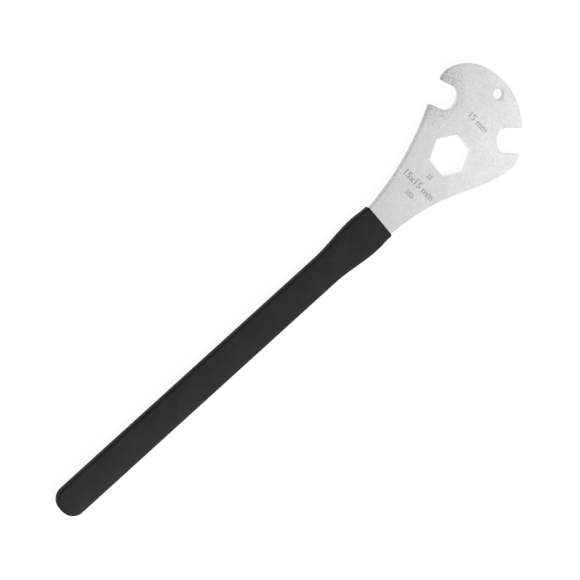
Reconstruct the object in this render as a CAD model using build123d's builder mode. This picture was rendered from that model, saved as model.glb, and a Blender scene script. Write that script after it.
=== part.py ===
from build123d import *
import os

# A flat pedal wrench: a steel blade stamped from one plate, with a vinyl grip moulded over its tang.
# The origin is the centre of the hexagonal opening, halfway through the plate. X runs from the grip to
# the head, Y points to the side of the jaw that opens back along the shank, and Z is square to the
# plate. Lengths are in millimetres and angles in degrees.

os.makedirs("parts", exist_ok=True)

# Plate of the blade
plate_thickness = 5.0
plate_edge_break = 0.15

# Jaws, both for the two flats of a pedal spindle: the middle of each floor and the way it opens
jaw_width = 15.0
jaw_floor_flat = 2.5
rear_jaw_floor = (22.5, 20.9)
rear_jaw_angle = 113.5
front_jaw_floor = (26.2, -12.2)
front_jaw_angle = -41.5

# Other openings in the head
hex_sides = 6
hex_across_flats = 22.2
hex_corner_radius = 1.2
hex_turn = 30
hang_hole_centre = (44.1, 7.7)
hang_hole_radius = 3.3

# Edge of the head, from its foremost point back to both jaws
nose = (51.6, 8.9)
crown = (48.3, 24.9)
hook_back = (31.5, 38.1)
hook_end = (21.3, 35.0)
cheek_end = (41.6, -17.7)

# Edges of the neck, from the tang to both jaws
rear_neck_root = -76.6
rear_neck_end = (11.9, 31.7)
front_neck_root = -96.0
front_neck_waist = (-44.7, -11.7)
front_neck_bend = (-5.4, -22.4)
belly = (18.6, -30.0)
front_prong_end = (33.1, -26.5)

# Rounding of the four tips beside the jaws
rear_prong_radius = 1.4
hook_radius = 1.2
cheek_radius = 0.5
front_prong_radius = 0.6

# Tang, the straight strip inside the grip
tang_width = 16.6
tang_centre = -1.05
tang_end = -300.1
tang_end_flat = 2.2

# Grip, closed over the end of the tang and flared behind a narrow lip at its mouth
grip_side_skin = 0.95
grip_face_skin = 1.25
grip_end_skin = 1.2
grip_edge_radius = 2.5
flare_start = -98.0
crest = -67.5
crest_rise = 2.45
lip_start = -59.4
lip_drop = 0.55
mouth = -55.4
mouth_edge_radius = 0.9

# Sizes worked out from those above, with the grip's as half widths from the middle of the tang
jaw_cut_length = 2 * jaw_width
tang_end_radius = (tang_width - tang_end_flat) / 2
grip_side = tang_width / 2 + grip_side_skin
grip_end = tang_end - grip_end_skin
grip_end_radius = tang_end_radius + grip_side_skin
grip_thickness = plate_thickness + 2 * grip_face_skin
crest_side = grip_side + crest_rise
lip_side = crest_side - lip_drop


def blade_edge():
    """Draws the edge of the plate in tangent arcs, with a straight line across each jaw."""
    tang_top = tang_centre + tang_width / 2
    tang_bottom = tang_centre - tang_width / 2
    rear_side = Line((tang_end, tang_top), (rear_neck_root, tang_top))
    rear_neck = TangentArc(rear_side @ 1, rear_neck_end, tangent=rear_side % 1)
    front_side = Line((tang_end, tang_bottom), (front_neck_root, tang_bottom))
    front_taper = TangentArc(front_side @ 1, front_neck_waist, tangent=front_side % 1)
    front_neck = TangentArc(front_taper @ 1, front_neck_bend, tangent=front_taper % 1)
    under_head = TangentArc(front_neck @ 1, belly, tangent=front_neck % 1)
    front_prong = TangentArc(under_head @ 1, front_prong_end, tangent=under_head % 1)
    cheek = TangentArc(nose, cheek_end, tangent=(0, -1))
    forehead = TangentArc(nose, crown, tangent=(0, 1))
    hook = TangentArc(forehead @ 1, hook_back, tangent=forehead % 1)
    hook_tip = TangentArc(hook @ 1, hook_end, tangent=hook % 1)
    Line(rear_side @ 0, front_side @ 0)
    Line(rear_neck @ 1, hook_tip @ 1)
    Line(cheek @ 1, front_prong @ 1)


def cut_jaw(floor, angle):
    """Cuts one jaw with parallel flats, round corners and a short flat floor."""
    with Locations(floor):
        RectangleRounded(
            jaw_cut_length,
            jaw_width,
            (jaw_width - jaw_floor_flat) / 2,
            rotation=angle,
            align=(Align.MIN, Align.CENTER),
            mode=Mode.SUBTRACT,
        )


def round_corner(sketch, place, radius):
    """Rounds the corner of a sketch that lies nearest to a place."""
    fillet(sketch.vertices().sort_by_distance(place)[0], radius)


with BuildPart() as blade:
    with BuildSketch() as plate:
        with BuildLine():
            blade_edge()
        make_face()
        cut_jaw(rear_jaw_floor, rear_jaw_angle)
        cut_jaw(front_jaw_floor, front_jaw_angle)
        with Locations(hang_hole_centre):
            Circle(hang_hole_radius, mode=Mode.SUBTRACT)
        round_corner(plate, rear_neck_end, rear_prong_radius)
        round_corner(plate, hook_end, hook_radius)
        round_corner(plate, cheek_end, cheek_radius)
        round_corner(plate, front_prong_end, front_prong_radius)
        fillet(plate.vertices().group_by(Axis.X)[0], tang_end_radius)
    extrude(amount=plate_thickness / 2, both=True)
    chamfer(blade.faces().filter_by(Axis.Z).edges(), plate_edge_break)
    with BuildSketch() as hexagon:
        RegularPolygon(hex_across_flats / 2, hex_sides, major_radius=False, rotation=hex_turn)
        fillet(hexagon.vertices(), hex_corner_radius)
    extrude(amount=plate_thickness / 2, both=True, mode=Mode.SUBTRACT)

blade.part.label = "blade"
export_step(blade.part, "parts/blade.step")


def grip_half_edge():
    """Draws one side of the grip, above the middle of the tang."""
    flare_middle = ((flare_start + crest) / 2, (grip_side + crest_side) / 2)
    side = Line((grip_end, grip_side), (flare_start, grip_side))
    flare = TangentArc(side @ 1, flare_middle, tangent=side % 1)
    swell = TangentArc(flare @ 1, (crest, crest_side), tangent=flare % 1)
    shoulder = TangentArc(swell @ 1, (lip_start, lip_side), tangent=swell % 1)
    lip = Line(shoulder @ 1, (mouth, lip_side))
    Line(lip @ 1, (mouth, 0))
    Line(side @ 0, (grip_end, 0))


with BuildPart() as grip:
    with BuildSketch(Plane((0, tang_centre, 0))) as sleeve:
        with BuildLine():
            grip_half_edge()
            mirror(about=Plane.XZ)
        make_face()
        fillet(sleeve.vertices().group_by(Axis.X)[0], grip_end_radius)
    extrude(amount=grip_thickness / 2, both=True)
    mouth_face = grip.faces().sort_by(Axis.X)[-1]
    long_edges = grip.faces().filter_by(Axis.Z).edges() - mouth_face.edges()
    fillet(long_edges, grip_edge_radius)
    fillet(grip.faces().sort_by(Axis.X)[-1].edges(), mouth_edge_radius)
    add(blade.part, mode=Mode.SUBTRACT)

grip.part.label = "grip"
export_step(grip.part, "parts/grip.step")
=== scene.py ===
from math import cos, pi, radians

import bmesh
import bpy
from bpy.props import FloatProperty, FloatVectorProperty, PointerProperty, StringProperty
from bpy.types import Operator, Panel, PropertyGroup
from mathutils import Matrix, Vector


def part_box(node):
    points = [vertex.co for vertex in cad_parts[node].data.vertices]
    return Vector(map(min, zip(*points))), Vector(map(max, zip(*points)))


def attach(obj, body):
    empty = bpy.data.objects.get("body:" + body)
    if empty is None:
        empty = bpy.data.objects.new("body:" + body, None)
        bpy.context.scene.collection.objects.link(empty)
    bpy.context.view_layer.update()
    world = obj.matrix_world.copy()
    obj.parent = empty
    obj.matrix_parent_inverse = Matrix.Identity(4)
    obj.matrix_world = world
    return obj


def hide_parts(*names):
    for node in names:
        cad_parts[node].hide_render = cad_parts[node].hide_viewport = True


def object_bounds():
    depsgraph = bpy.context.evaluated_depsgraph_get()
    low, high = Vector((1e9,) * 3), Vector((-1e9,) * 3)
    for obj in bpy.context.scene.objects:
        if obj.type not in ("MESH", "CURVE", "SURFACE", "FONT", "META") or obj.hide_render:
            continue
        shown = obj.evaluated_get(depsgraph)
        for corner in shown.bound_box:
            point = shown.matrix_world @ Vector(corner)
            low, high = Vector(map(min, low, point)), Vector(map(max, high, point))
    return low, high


# Looks of a flat pedal wrench: a stamped steel blade with its size marks, a soft grip over the
# tang, and the studio round them. Lengths are in metres, in the frame of the CAD model: X runs from
# the grip to the head, Z is square to the plate, and the origin is the middle of the hexagonal
# opening.

bl_info = {
    "name": "Pedal wrench",
    "version": (1, 0, 0),
    "blender": (4, 5, 0),
    "location": "View3D > Sidebar > Pedal wrench",
    "description": "Builds the blade, the grip and the studio of a flat pedal wrench",
    "category": "Object",
}

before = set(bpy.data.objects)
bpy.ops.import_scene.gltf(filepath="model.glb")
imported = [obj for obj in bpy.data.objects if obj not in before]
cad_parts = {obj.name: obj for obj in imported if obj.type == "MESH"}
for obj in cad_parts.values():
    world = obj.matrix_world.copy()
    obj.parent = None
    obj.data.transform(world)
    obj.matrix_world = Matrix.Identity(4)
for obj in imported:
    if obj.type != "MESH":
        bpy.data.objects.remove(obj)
CAD_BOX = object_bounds()
GRIP_LOW, GRIP_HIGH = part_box("grip")
BLADE_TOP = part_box("blade")[1].z

MM = 0.001

# How close vertices are when they merge, how flat an angle is when its faces count as one, how
# sharp an edge is when it counts as a corner, and how close a slice comes when it snaps to a vertex
MERGE_DISTANCE = 1e-6
FLAT_ANGLE = radians(0.3)
CORNER_ANGLE = radians(50)
CUT_SNAP = 0.05 * MM

# Angles past which the shading stays sharp, and how upright a normal is when its face lies level
BLADE_CREASE = radians(30)
GRIP_CREASE = radians(50)
LEVEL_LIMIT = 0.999

# Middles of the stamped marks, the height of a figure as a share of its font's size, and the
# number of steps in its curves
HEAD_MARK = (24.5 * MM, 3.7 * MM)
NECK_MARK = (-25.2 * MM, -0.1 * MM)
HEXAGON_MARK = (-17.2 * MM, -1.0 * MM)
LENGTH_MARK = (-32.6 * MM, -0.4 * MM)
FIGURE_HEIGHT = 0.736
FIGURE_STEPS = 6

# Steps in the grip's rounded edges
BUTT_STEPS = 14
EDGE_STEPS = 6
MOUTH_STEPS = 4
CREASE_STEPS = 2

# Where the grip is sliced so that it can bend: across the butt, in shares of its radius; across
# the flare, in this many equal steps; and along its faces, in shares of its half width
BUTT_SLICES = (0.35, 0.7, 1)
FLARE_SLICES = 24
CROWN_SLICES = (-0.55, -0.28, 0, 0.28, 0.55)

# Finish of the blade: the direction of the neck's rear side, the span that way over which the
# walls go from a painted reflection to painted shade, the middle of the hanging hole, how far from
# there a wall is still the hole's own, and the depth of the grain
REARWARD = (-0.45, 0.9, 0)
WALL_LIGHT_SPAN = 20 * MM
HANG_HOLE = (44.1 * MM, 7.7 * MM, 0)
HOLE_REACH = 5 * MM
STEEL_RELIEF = 0.06 * MM

# Finish of the grip: the width of the painted shade in the crease at its mouth, the black of the
# painted shade there and on the sides, how much paler rubbed vinyl is, and the depth of the grain
CREASE_SHADE_WIDTH = 0.9 * MM
SHADE_BLACK = (0.004, 0.004, 0.004)
RUBBED = 1.3
VINYL_RELIEF = 0.12 * MM

# Floor as it lights the wrench, and as it shows: a little of the shadow, lifted to white
WHITE = (1, 1, 1, 1)
LIT_FLOOR = (0.8, 0.8, 0.8, 1)
SHOWN_FLOOR = (0.13, 0.13, 0.13, 1)
FLOOR_GLOW = 0.91

# Lamps: the width of each, where it hangs and where it points
LAMPS = {
    "head_lamp": (0.45, (0.22, -0.25, 0.35), (0, 0, 0)),
    "neck_lamp": (0.4, (0.04, -0.36, 0.35), (0, 0, 0)),
    "butt_lamp": (0.3, (-0.32, -0.3, 0.3), (-0.28, 0, 0)),
}

# How far the camera sees
CAMERA_REACH = 50


# Settings


class BladeSettings(PropertyGroup):
    """What a user may change on the steel blade."""

    head_mark: StringProperty(
        name="Head mark", description="Size of the jaws, stamped between them", default="15 mm"
    )
    neck_mark: StringProperty(
        name="Neck mark",
        description="Size of the jaws, stamped across the neck",
        default="15x15 mm",
    )
    hexagon_mark: StringProperty(
        name="Hexagon mark",
        description="Size of the hexagon, stamped in small figures",
        default="22",
    )
    length_mark: StringProperty(
        name="Length mark",
        description="Length of the tool, stamped in small figures",
        default="350",
    )
    neck_figures: FloatProperty(
        name="Neck figures",
        description="Height of the figures on the neck",
        default=4.2 * MM,
        unit="LENGTH",
    )
    head_figures: FloatProperty(
        name="Head figures",
        description="Height of the figures on the head",
        default=4.0 * MM,
        unit="LENGTH",
    )
    small_figures: FloatProperty(
        name="Small figures",
        description="Height of the small figures",
        default=2.8 * MM,
        unit="LENGTH",
    )
    mark_turn: FloatProperty(
        name="Mark turn",
        description="Direction in which the marks read, from the X axis",
        default=radians(-86),
        subtype="ANGLE",
    )
    mark_depth: FloatProperty(
        name="Mark depth",
        description="Depth of the stamped strokes",
        default=0.3 * MM,
        unit="LENGTH",
    )
    stroke_slope: FloatProperty(
        name="Stroke slope",
        description="Width of a stroke's sloping sides, as a share of the figures' height",
        default=0.022,
        subtype="FACTOR",
    )
    bright_steel: FloatVectorProperty(
        name="Bright steel",
        description="Plated steel on top of the grain",
        subtype="COLOR",
        default=(0.7, 0.7, 0.7),
        min=0,
        max=1,
    )
    dull_steel: FloatVectorProperty(
        name="Dull steel",
        description="Plated steel between the grains",
        subtype="COLOR",
        default=(0.57, 0.57, 0.575),
        min=0,
        max=1,
    )
    stamped_steel: FloatVectorProperty(
        name="Stamped steel",
        description="Dark steel at the bottom of the stamped marks",
        subtype="COLOR",
        default=(0.36, 0.36, 0.365),
        min=0,
        max=1,
    )
    # Painted reflection: the walls lighten towards this colour
    wall_reflection_steel: FloatVectorProperty(
        name="Wall reflection steel",
        description="Cut steel in the jaws and hexagon, lightened as a painted reflection",
        subtype="COLOR",
        default=(0.9, 0.9, 0.9),
        min=0,
        max=1,
    )
    # Also the colour of the painted shade on the rear walls
    worn_and_shaded_steel: FloatVectorProperty(
        name="Worn and shaded steel",
        description="Dark specks of worn plating, and painted shade on the rear walls",
        subtype="COLOR",
        default=(0.3, 0.3, 0.31),
        min=0,
        max=1,
    )
    worn_place: FloatVectorProperty(
        name="Worn place",
        description="The middle of the rear jaw's mouth, where the plating is worn dark",
        subtype="TRANSLATION",
        default=(17 * MM, 37 * MM, 0),
    )
    worn_reach: FloatProperty(
        name="Worn reach", description="How far the wear reaches", default=23 * MM, unit="LENGTH"
    )


class GripSettings(PropertyGroup):
    """What a user may change on the soft grip."""

    flare_start: FloatProperty(
        name="Flare start",
        description="Where the sides begin to swell",
        default=-98 * MM,
        unit="LENGTH",
    )
    crest: FloatProperty(
        name="Crest", description="Where the grip is widest", default=-67.5 * MM, unit="LENGTH"
    )
    crest_rise: FloatProperty(
        name="Crest rise",
        description="How far each side swells by the crest",
        default=2.45 * MM,
        unit="LENGTH",
    )
    lip_start: FloatProperty(
        name="Lip start",
        description="Where the straight lip begins",
        default=-59.4 * MM,
        unit="LENGTH",
    )
    lip_drop: FloatProperty(
        name="Lip drop",
        description="How far the lip lies in from the crest",
        default=0.55 * MM,
        unit="LENGTH",
    )
    butt_radius: FloatProperty(
        name="Butt radius",
        description="Corner radius of the butt",
        default=8.15 * MM,
        unit="LENGTH",
    )
    edge_radius: FloatProperty(
        name="Edge radius",
        description="Rounding of the long edges",
        default=1.8 * MM,
        unit="LENGTH",
    )
    mouth_radius: FloatProperty(
        name="Mouth radius", description="Rounding of the mouth", default=0.8 * MM, unit="LENGTH"
    )
    mouth_crease: FloatProperty(
        name="Mouth crease",
        description="Width of the crease between vinyl and steel",
        default=0.2 * MM,
        unit="LENGTH",
    )
    crown: FloatProperty(
        name="Crown",
        description="How far the faces fall from the middle to the sides",
        default=0.5 * MM,
        unit="LENGTH",
    )
    vinyl: FloatVectorProperty(
        name="Vinyl",
        description="Colour of the soft black vinyl",
        subtype="COLOR",
        default=(0.0165, 0.0165, 0.017),
        min=0,
        max=1,
    )


class StudioSettings(PropertyGroup):
    """What a user may change round the wrench."""

    camera_place: FloatVectorProperty(
        name="Camera place",
        description="Where the camera stands",
        subtype="TRANSLATION",
        default=(-0.59924, 1.04213, 3.443),
    )
    camera_aim: FloatVectorProperty(
        name="Camera aim",
        description="The point in the middle of the picture",
        subtype="TRANSLATION",
        default=(-0.12036, 0.00416, 0),
    )
    camera_roll: FloatProperty(
        name="Camera roll",
        description="How far the camera is turned about its own line of sight",
        default=radians(114.14),
        subtype="ANGLE",
    )
    camera_lens: FloatProperty(
        name="Lens",
        description="Focal length in millimetres",
        default=395.7,
        subtype="DISTANCE_CAMERA",
    )
    floor_size: FloatProperty(
        name="Floor size", description="Side of the square floor", default=12, unit="LENGTH"
    )
    head_power: FloatProperty(
        name="Head lamp",
        description="Power of the lamp close to the head",
        default=0.42,
        subtype="POWER",
    )
    neck_power: FloatProperty(
        name="Neck lamp",
        description="Power of the lamp beside the neck",
        default=0.35,
        subtype="POWER",
    )
    butt_power: FloatProperty(
        name="Butt lamp",
        description="Power of the lamp close to the butt",
        default=1.2,
        subtype="POWER",
    )
    sky_strength: FloatProperty(
        name="Sky strength", description="Strength of the white room light", default=0.63
    )


# Finishes


class Value:
    """A number that changes over a surface. Arithmetic on it adds Math nodes."""

    def __init__(self, finish, socket):
        self.finish = finish
        self.socket = socket

    def __add__(self, other):
        return self.finish.math("ADD", self, other)

    def __sub__(self, other):
        return self.finish.math("SUBTRACT", self, other)

    def __rsub__(self, other):
        return self.finish.math("SUBTRACT", other, self)

    def __mul__(self, other):
        return self.finish.math("MULTIPLY", self, other)

    def __abs__(self):
        return self.finish.math("ABSOLUTE", self)

    __radd__ = __add__
    __rmul__ = __mul__


class Finish:
    """A node tree that is put together one node at a time."""

    def __init__(self, owner):
        owner.use_nodes = True
        self.owner = owner
        self.tree = owner.node_tree
        self.tree.nodes.clear()

    def node(self, kind, settings=None, sockets=None):
        """Adds a node, with its settings first and then the values or links of its sockets."""
        made = self.tree.nodes.new("ShaderNode" + kind)
        settings = dict(settings or {})
        stops = settings.pop("stops", None)
        for name, setting in settings.items():
            setattr(made, name, setting)
        if stops:
            while len(made.color_ramp.elements) < len(stops):
                made.color_ramp.elements.new(1)
            for element, (position, level) in zip(made.color_ramp.elements, stops):
                element.position = position
                element.color = (level, level, level, 1)
        for name, source in (sockets or {}).items():
            if isinstance(source, Value):
                source = source.socket
            if isinstance(source, bpy.types.NodeSocket):
                self.tree.links.new(source, made.inputs[name])
            else:
                made.inputs[name].default_value = source
        return made

    def value(self, kind, settings=None, sockets=None, output=0):
        """Adds a node and returns one of its outputs as a value."""
        return Value(self, self.node(kind, settings, sockets).outputs[output])

    def math(self, operation, *numbers):
        """Works out a value from numbers and other values."""
        return self.value("Math", {"operation": operation}, dict(enumerate(numbers)))

    def measure(self, operation, *vectors):
        """Works out a value from vectors, such as the distance between two places."""
        sockets = dict(enumerate(vectors))
        return self.value("VectorMath", {"operation": operation}, sockets, "Value")

    def place(self, stretch=(1, 1, 1)):
        """The place on the piece, squeezed along an axis where a pattern is to be long."""
        here = self.node("TexCoord").outputs["Object"]
        return self.node("Mapping", sockets={"Vector": here, "Scale": stretch}).outputs[0]

    def part(self, coordinates, axis):
        """One part of a set of coordinates, such as how far up a point lies."""
        source = self.node("TexCoord").outputs[coordinates]
        return self.value("SeparateXYZ", {}, {0: source}, axis)

    def noise(self, place, size, detail=2, roughness=0.5):
        """Soft random patches, of a size given in metres."""
        sockets = {"Vector": place, "Scale": 1 / size, "Detail": detail, "Roughness": roughness}
        return self.value("TexNoise", {}, sockets, "Fac")

    def steps(self, value, stops):
        """Remaps a value through a ramp of (position, level) stops."""
        return self.value("ValToRGB", {"stops": stops}, {"Fac": value})

    def blend(self, mask, low, high):
        """A colour between two colours, each of them three numbers or a socket."""
        ends = [end if isinstance(end, bpy.types.NodeSocket) else (*end, 1) for end in (low, high)]
        sockets = {"Factor": mask, 6: ends[0], 7: ends[1]}
        return self.node("Mix", {"data_type": "RGBA"}, sockets).outputs[2]

    def bump(self, height, depth):
        """A normal for relief of a given depth in metres."""
        sockets = {"Height": height, "Distance": depth, "Strength": 1}
        return self.node("Bump", {}, sockets).outputs[0]

    def surface(self, shader):
        """Ends the tree in a shader, and returns the material."""
        self.node("OutputMaterial", {}, {"Surface": shader.outputs[0]})
        return self.owner


def satin_steel(settings):
    """Plated steel: a sandy grain, wear round the rear jaw and dark marks, with painted shade on
    the rear walls and a painted reflection on the walls towards the front and the openings.
    """
    steel = Finish(bpy.data.materials.new("satin_steel"))
    place = steel.place()
    clouds = steel.noise(place, 16 * MM)
    mottle = steel.noise(place, 3.5 * MM, roughness=0.6)
    grain = steel.noise(place, 1.3 * MM, detail=3, roughness=0.7)
    streaks = steel.noise(steel.place((1, 1, 0.12)), 0.9 * MM)
    specks = steel.steps(grain, [(0.42, 1), (0.55, 0)])

    # Where the walls, the marks, the painted shade and painted reflection on the walls, the hanging
    # hole and the wear are
    facing = abs(steel.part("Normal", "Z"))
    wall = 1 - facing
    level = steel.steps(facing, [(0.8, 0), (0.95, 1)])
    below = BLADE_TOP - abs(steel.part("Object", "Z"))
    pressed = steel.steps(below * (1 / settings.mark_depth), [(0.2, 0), (0.8, 1)]) * level
    rearward = steel.measure("DOT_PRODUCT", place, REARWARD) * (1 / WALL_LIGHT_SPAN)
    # Painted light on the walls by place: shade on the rear side, a reflection towards the front
    rear_shade = steel.steps(rearward, [(0.7, 0), (1, 1)])
    reflection_by_place = steel.steps(rearward, [(0, 1), (0.7, 0.3), (1, 0)])
    from_hole = steel.measure("DISTANCE", place, HANG_HOLE) * (1 / HOLE_REACH)
    in_hole = steel.steps(from_hole, [(0.9, 1), (1, 0)])
    from_wear = steel.measure("DISTANCE", place, settings.worn_place) * (1 / settings.worn_reach)
    wear = steel.steps(from_wear, [(0.2, 1), (1, 0)])

    # Plating first, then the wear and the painted shade on the rear walls, the marks, and the
    # painted reflection on the walls over it
    tone = steel.steps(clouds * 0.2 + mottle * 0.25 + grain * 0.55, [(0.38, 0), (0.62, 1)])
    patches = specks - wall * (specks - 0.5) * 0.6
    speckled = wear * (0.1 + patches * 0.85)
    # Painted shade, in specks like torn plating: the rear walls darken towards worn steel
    torn_and_shaded = wall * rear_shade * (0.1 + specks * 0.4)
    worn = speckled + torn_and_shaded + wall * in_hole * 0.05
    # Painted reflection: the walls lighten towards bright steel, fading out to the rear and in the
    # hanging hole
    painted_wall_reflection = wall * reflection_by_place * (1 - in_hole) * (1.3 - streaks)
    plated = steel.blend(tone, settings.dull_steel, settings.bright_steel)
    plated = steel.blend(worn, plated, settings.worn_and_shaded_steel)
    plated = steel.blend(pressed * 0.9, plated, settings.stamped_steel)
    relief = grain * 0.6 + mottle * 0.4 + wall * streaks * 0.4
    shader = steel.node(
        "BsdfPrincipled",
        {},
        {
            "Base Color": steel.blend(painted_wall_reflection, plated, settings.wall_reflection_steel),
            "Metallic": 1,
            "Roughness": 0.29 + (1 - tone) * 0.06 + wall * 0.04,
            "Normal": steel.bump(relief, STEEL_RELIEF),
        },
    )
    return steel.surface(shader)


def soft_vinyl(settings):
    """Matt black vinyl: a fine pebbled skin and soft smudges from hands, with painted shade
    in the crease at the mouth and on the sides.
    """
    vinyl = Finish(bpy.data.materials.new("soft_vinyl"))
    place = vinyl.place()
    pebbles = vinyl.noise(place, 0.9 * MM, detail=3, roughness=0.6)
    smudges = vinyl.noise(place, 4 * MM, detail=3, roughness=0.6)
    waves = vinyl.noise(place, 9 * MM)
    rubbed = vinyl.steps(smudges * 0.5 + waves * 0.5, [(0.4, 0), (0.66, 1)])
    # Painted shade: where the faces turn to the sides, the colour below is darkened towards black
    side = vinyl.steps(abs(vinyl.part("Normal", "Z")), [(0.3, 1), (0.8, 0)])
    # Painted shade: within the crease beside the steel at the mouth, the vinyl turns black
    from_mouth = (GRIP_HIGH.x - vinyl.part("Object", "X")) * (1 / CREASE_SHADE_WIDTH)
    away_from_crease_shade = vinyl.steps(from_mouth, [(0.4, 0), (1, 1)])
    pale = tuple(RUBBED * part for part in settings.vinyl)
    skin = vinyl.blend(rubbed, settings.vinyl, pale)
    relief = pebbles * 0.45 + smudges * 0.3 + waves * 0.4
    shader = vinyl.node(
        "BsdfPrincipled",
        {},
        {
            # Painted shade: black in the crease at the mouth, and the sides three tenths darker
            # towards black
            "Base Color": vinyl.blend(away_from_crease_shade * (1 - side * 0.3), SHADE_BLACK, skin),
            "Roughness": 0.46 + pebbles * 0.12 - rubbed * 0.06 + side * 0.12,
            "Specular IOR Level": 0.12,
            "Normal": vinyl.bump(relief, VINYL_RELIEF),
        },
    )
    return vinyl.surface(shader)


def pale_floor():
    """A floor that looks white to the camera and in the steel, and still takes a faint shadow."""
    floor = Finish(bpy.data.materials.new("pale_floor"))
    rays = floor.node("LightPath").outputs
    seen, mirrored, through = (
        Value(floor, rays[name])
        for name in ("Is Camera Ray", "Is Glossy Ray", "Is Transmission Ray")
    )
    lit = floor.node("BsdfDiffuse", {}, {"Color": LIT_FLOOR})
    faint = floor.node("BsdfDiffuse", {}, {"Color": SHOWN_FLOOR})
    glow = floor.node("Emission", {}, {"Color": WHITE, "Strength": FLOOR_GLOW})
    shown = floor.node("AddShader", {}, {0: faint.outputs[0], 1: glow.outputs[0]})
    mask = floor.math("MAXIMUM", floor.math("MAXIMUM", seen, mirrored), through)
    mixed = floor.node("MixShader", {}, {0: mask, 1: lit.outputs[0], 2: shown.outputs[0]})
    return floor.surface(mixed)


def white_room(strength):
    """Fills the world with a white ceiling that falls to a pale grey at the horizon."""
    world = bpy.data.worlds.new("white_room")
    bpy.context.scene.world = world
    room = Finish(world)
    level = room.steps(room.part("Generated", "Z"), [(0, 0.6), (0.75, 1)])
    sky = room.node("Background", {}, {"Color": level, "Strength": strength})
    room.node("OutputWorld", {}, {"Surface": sky.outputs[0]})


# Shapes


def whole_faces(node):
    """A bmesh of a CAD node, with its loose triangles merged into whole faces."""
    shape = bmesh.new()
    shape.from_mesh(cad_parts[node].data)
    bmesh.ops.remove_doubles(shape, verts=shape.verts, dist=MERGE_DISTANCE)
    bmesh.ops.dissolve_limit(
        shape,
        angle_limit=FLAT_ANGLE,
        verts=shape.verts,
        edges=shape.edges,
        use_dissolve_boundaries=False,
    )
    return shape


def new_piece(name, shape, material=None):
    """Turns a bmesh into an object at the origin."""
    mesh = bpy.data.meshes.new(name)
    shape.to_mesh(mesh)
    shape.free()
    if material:
        mesh.materials.append(material)
    piece = bpy.data.objects.new(name, mesh)
    bpy.context.scene.collection.objects.link(piece)
    return piece


def cut_away(piece, cutter):
    """Takes the volume of one object out of another, and removes the cutter."""
    cut = piece.modifiers.new("cut", "BOOLEAN")
    cut.operation = "DIFFERENCE"
    cut.solver = "EXACT"
    cut.use_self = True
    cut.object = cutter
    bpy.context.view_layer.update()
    evaluated = piece.evaluated_get(bpy.context.evaluated_depsgraph_get())
    result = bpy.data.meshes.new_from_object(evaluated)
    piece.modifiers.clear()
    old = piece.data
    piece.data = result
    result.name = old.name
    bpy.data.meshes.remove(old)
    bpy.data.objects.remove(cutter)


def round_edges(shape, edges, radius, segments):
    """Rounds edges of a bmesh."""
    bmesh.ops.bevel(
        shape,
        geom=edges,
        offset=radius,
        offset_type="OFFSET",
        segments=segments,
        profile=0.5,
        affect="EDGES",
        material=-1,
    )


def corners(shape):
    """Edges where two faces meet at a sharp corner."""
    return [edge for edge in shape.edges if edge.calc_face_angle() > CORNER_ANGLE]


def at_mouth(edge):
    """Whether an edge lies in the plane of the grip's mouth."""
    return all(abs(vert.co.x - GRIP_HIGH.x) < MERGE_DISTANCE for vert in edge.verts)


def mouth_corners(shape):
    """Sharp edges in the plane of the grip's mouth."""
    return [edge for edge in corners(shape) if at_mouth(edge)]


def cut_across(shape, places, normal):
    """Slices a bmesh through at several places, which gives it rings of new edges."""
    for place in places:
        everything = shape.verts[:] + shape.edges[:] + shape.faces[:]
        bmesh.ops.bisect_plane(
            shape, geom=everything, dist=CUT_SNAP, plane_co=place, plane_no=normal
        )


def swell(settings, along):
    """How far a side of the grip stands out at a place along it."""
    if along >= settings.lip_start:
        return settings.crest_rise - settings.lip_drop
    if along >= settings.crest:
        share = (along - settings.crest) / (settings.lip_start - settings.crest)
        return settings.crest_rise - settings.lip_drop * (1 - cos(share * pi / 2))
    share = max(0, (along - settings.flare_start) / (settings.crest - settings.flare_start))
    return settings.crest_rise * (1 - cos(share * pi)) / 2


def grip_form(settings):
    """The grip without its pocket: a flared block with a round butt, a crown and soft edges."""
    middle = (GRIP_LOW + GRIP_HIGH) / 2
    half_width = (GRIP_HIGH.y - GRIP_LOW.y) / 2 - settings.crest_rise
    form = bmesh.new()
    bmesh.ops.create_cube(form, size=1)
    block = (GRIP_HIGH.x - GRIP_LOW.x, 2 * half_width, GRIP_HIGH.z - GRIP_LOW.z)
    bmesh.ops.scale(form, vec=block, verts=form.verts)
    bmesh.ops.translate(form, vec=middle, verts=form.verts)

    butt_uprights = [
        edge
        for edge in form.edges
        if all(vert.co.x < middle.x for vert in edge.verts)
        and edge.verts[0].co.y == edge.verts[1].co.y
    ]
    round_edges(form, butt_uprights, settings.butt_radius, BUTT_STEPS)
    long_edges = [edge for edge in corners(form) if not at_mouth(edge)]
    round_edges(form, long_edges, settings.edge_radius, EDGE_STEPS)
    round_edges(form, mouth_corners(form), settings.mouth_radius, MOUTH_STEPS)

    butt_centre = GRIP_LOW.x + settings.butt_radius
    stations = [GRIP_LOW.x + settings.butt_radius * share for share in BUTT_SLICES]
    flare = settings.lip_start - settings.flare_start
    for step in range(FLARE_SLICES + 1):
        stations.append(settings.flare_start + flare * step / FLARE_SLICES)
    cut_across(form, [(station, 0, 0) for station in stations], (1, 0, 0))
    lines = [middle.y + half_width * share for share in CROWN_SLICES]
    cut_across(form, [(0, line, 0) for line in lines], (0, 1, 0))

    for vert in form.verts:
        out = vert.co.y - middle.y
        from_butt = min(0, vert.co.x - butt_centre)
        reach = Vector((out, from_butt)).length / half_width
        vert.co.y += out / half_width * swell(settings, vert.co.x)
        vert.co.z *= 1 - settings.crown * reach**2 / GRIP_HIGH.z
    return form


def soften(piece, crease, level_limit=1):
    """Shades a piece smooth, apart from creases and from faces more level than a limit."""
    piece.data.set_sharp_from_angle(angle=crease)
    for polygon in piece.data.polygons:
        polygon.use_smooth = abs(polygon.normal.z) <= level_limit
    weighted = piece.modifiers.new("flat faces stay flat", "WEIGHTED_NORMAL")
    weighted.keep_sharp = True


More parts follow.
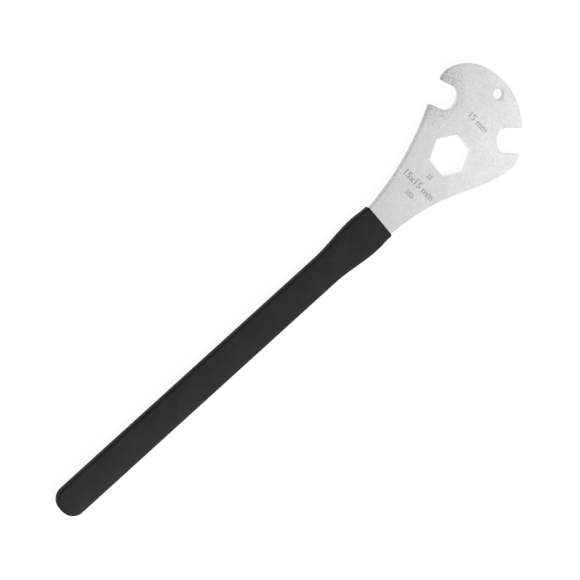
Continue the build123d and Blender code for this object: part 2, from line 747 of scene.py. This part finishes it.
def stamp(settings, text, height, place):
    """A cutter in the shape of a stamped mark: each stroke has sloping sides and a flat bottom."""
    slope = settings.stroke_slope * height
    words = bpy.data.curves.new("mark", "FONT")
    words.body = text
    words.align_x = "CENTER"
    words.align_y = "CENTER"
    words.size = height / FIGURE_HEIGHT
    words.resolution_u = FIGURE_STEPS
    words.extrude = settings.mark_depth
    words.bevel_depth = slope
    words.bevel_resolution = 0
    carrier = bpy.data.objects.new("mark", words)
    bpy.context.scene.collection.objects.link(carrier)
    evaluated = carrier.evaluated_get(bpy.context.evaluated_depsgraph_get())
    mesh = bpy.data.meshes.new_from_object(evaluated)
    bpy.data.objects.remove(carrier)
    bpy.data.curves.remove(words)
    shape = bmesh.new()
    shape.from_mesh(mesh)
    bpy.data.meshes.remove(mesh)
    bmesh.ops.remove_doubles(shape, verts=shape.verts, dist=MERGE_DISTANCE)
    turn = Matrix.Rotation(settings.mark_turn, 4, "Z")
    seat = Matrix.Translation((*place, BLADE_TOP + slope)) @ turn
    bmesh.ops.transform(shape, matrix=seat, verts=shape.verts)
    return new_piece("mark", shape)


# Operators


class WRENCH_OT_make_blade(Operator):
    """Builds the stamped steel blade with its size marks"""

    bl_idname = "wrench.make_blade"
    bl_label = "Make blade"
    bl_options = {"REGISTER", "UNDO"}

    def execute(self, context):
        settings = context.scene.wrench_blade
        blade = new_piece("steel_blade", whole_faces("blade"), satin_steel(settings))
        for text, height, place in (
            (settings.head_mark, settings.head_figures, HEAD_MARK),
            (settings.neck_mark, settings.neck_figures, NECK_MARK),
            (settings.hexagon_mark, settings.small_figures, HEXAGON_MARK),
            (settings.length_mark, settings.small_figures, LENGTH_MARK),
        ):
            cut_away(blade, stamp(settings, text, height, place))
        soften(blade, BLADE_CREASE, LEVEL_LIMIT)
        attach(blade, "root")
        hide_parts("blade")
        return {"FINISHED"}


class WRENCH_OT_make_grip(Operator):
    """Builds the soft grip: a flared, crowned sleeve with a round butt and a pocket for the tang"""

    bl_idname = "wrench.make_grip"
    bl_label = "Make grip"
    bl_options = {"REGISTER", "UNDO"}

    def execute(self, context):
        settings = context.scene.wrench_grip
        grip = new_piece("vinyl_grip", grip_form(settings), soft_vinyl(settings))
        cut_away(grip, new_piece("tang", whole_faces("blade")))
        self.ease_pocket(grip, settings)
        soften(grip, GRIP_CREASE)
        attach(grip, "root")
        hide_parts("grip")
        return {"FINISHED"}

    def ease_pocket(self, grip, settings):
        """Breaks the pocket's edge at the mouth, so that a fine crease shows beside the steel."""
        sleeve = bmesh.new()
        sleeve.from_mesh(grip.data)
        round_edges(sleeve, mouth_corners(sleeve), settings.mouth_crease, CREASE_STEPS)
        sleeve.to_mesh(grip.data)
        sleeve.free()


class WRENCH_OT_set_studio(Operator):
    """Lays the floor, hangs the lamps and places the camera"""

    bl_idname = "wrench.set_studio"
    bl_label = "Set studio"
    bl_options = {"REGISTER", "UNDO"}

    def execute(self, context):
        settings = context.scene.wrench_studio
        sheet = bmesh.new()
        bmesh.ops.create_grid(sheet, x_segments=1, y_segments=1, size=settings.floor_size / 2)
        bmesh.ops.translate(sheet, vec=(0, 0, CAD_BOX[0].z), verts=sheet.verts)
        new_piece("floor", sheet, pale_floor())
        white_room(settings.sky_strength)
        self.hang_lamp(context, "head_lamp", settings.head_power)
        self.hang_lamp(context, "neck_lamp", settings.neck_power)
        self.hang_lamp(context, "butt_lamp", settings.butt_power)
        self.place_camera(context, settings)
        context.scene.view_settings.view_transform = "Standard"
        return {"FINISHED"}

    def hang_lamp(self, context, name, power):
        """Hangs one round lamp, which the camera doesn't see."""
        width, place, aim = LAMPS[name]
        lamp = bpy.data.lights.new(name, "AREA")
        lamp.shape = "DISK"
        lamp.size = width
        lamp.energy = power
        holder = bpy.data.objects.new(name, lamp)
        holder.location = place
        holder.rotation_euler = (Vector(aim) - Vector(place)).to_track_quat("-Z", "Y").to_euler()
        holder.visible_camera = False
        context.scene.collection.objects.link(holder)

    def place_camera(self, context, settings):
        """Places the camera at the photograph's angle."""
        camera = bpy.data.cameras.new("camera")
        camera.lens = settings.camera_lens
        camera.clip_end = CAMERA_REACH
        holder = bpy.data.objects.new("camera", camera)
        place, aim = Vector(settings.camera_place), Vector(settings.camera_aim)
        look = (aim - place).to_track_quat("-Z", "Y").to_matrix()
        turn = look @ Matrix.Rotation(settings.camera_roll, 3, "Z")
        holder.matrix_world = Matrix.Translation(place) @ turn.to_4x4()
        context.scene.collection.objects.link(holder)
        context.scene.camera = holder


class WRENCH_PT_pieces(Panel):
    """Lists the pieces of the wrench and their settings"""

    bl_idname = "WRENCH_PT_pieces"
    bl_label = "Pedal wrench"
    bl_space_type = "VIEW_3D"
    bl_region_type = "UI"
    bl_category = "Pedal wrench"

    def draw(self, context):
        for operator, group in (
            (WRENCH_OT_make_blade, context.scene.wrench_blade),
            (WRENCH_OT_make_grip, context.scene.wrench_grip),
            (WRENCH_OT_set_studio, context.scene.wrench_studio),
        ):
            box = self.layout.box()
            box.operator(operator.bl_idname)
            for name in group.bl_rna.properties.keys():
                if name not in ("rna_type", "name"):
                    box.prop(group, name)


CLASSES = (
    BladeSettings,
    GripSettings,
    StudioSettings,
    WRENCH_OT_make_blade,
    WRENCH_OT_make_grip,
    WRENCH_OT_set_studio,
    WRENCH_PT_pieces,
)


def register():
    for cls in CLASSES:
        bpy.utils.register_class(cls)
    bpy.types.Scene.wrench_blade = PointerProperty(type=BladeSettings)
    bpy.types.Scene.wrench_grip = PointerProperty(type=GripSettings)
    bpy.types.Scene.wrench_studio = PointerProperty(type=StudioSettings)


def unregister():
    del bpy.types.Scene.wrench_studio
    del bpy.types.Scene.wrench_grip
    del bpy.types.Scene.wrench_blade
    for cls in reversed(CLASSES):
        bpy.utils.unregister_class(cls)


def main():
    register()
    bpy.ops.wrench.make_blade()
    bpy.ops.wrench.make_grip()
    bpy.ops.wrench.set_studio()


if __name__ == "__main__":
    main()
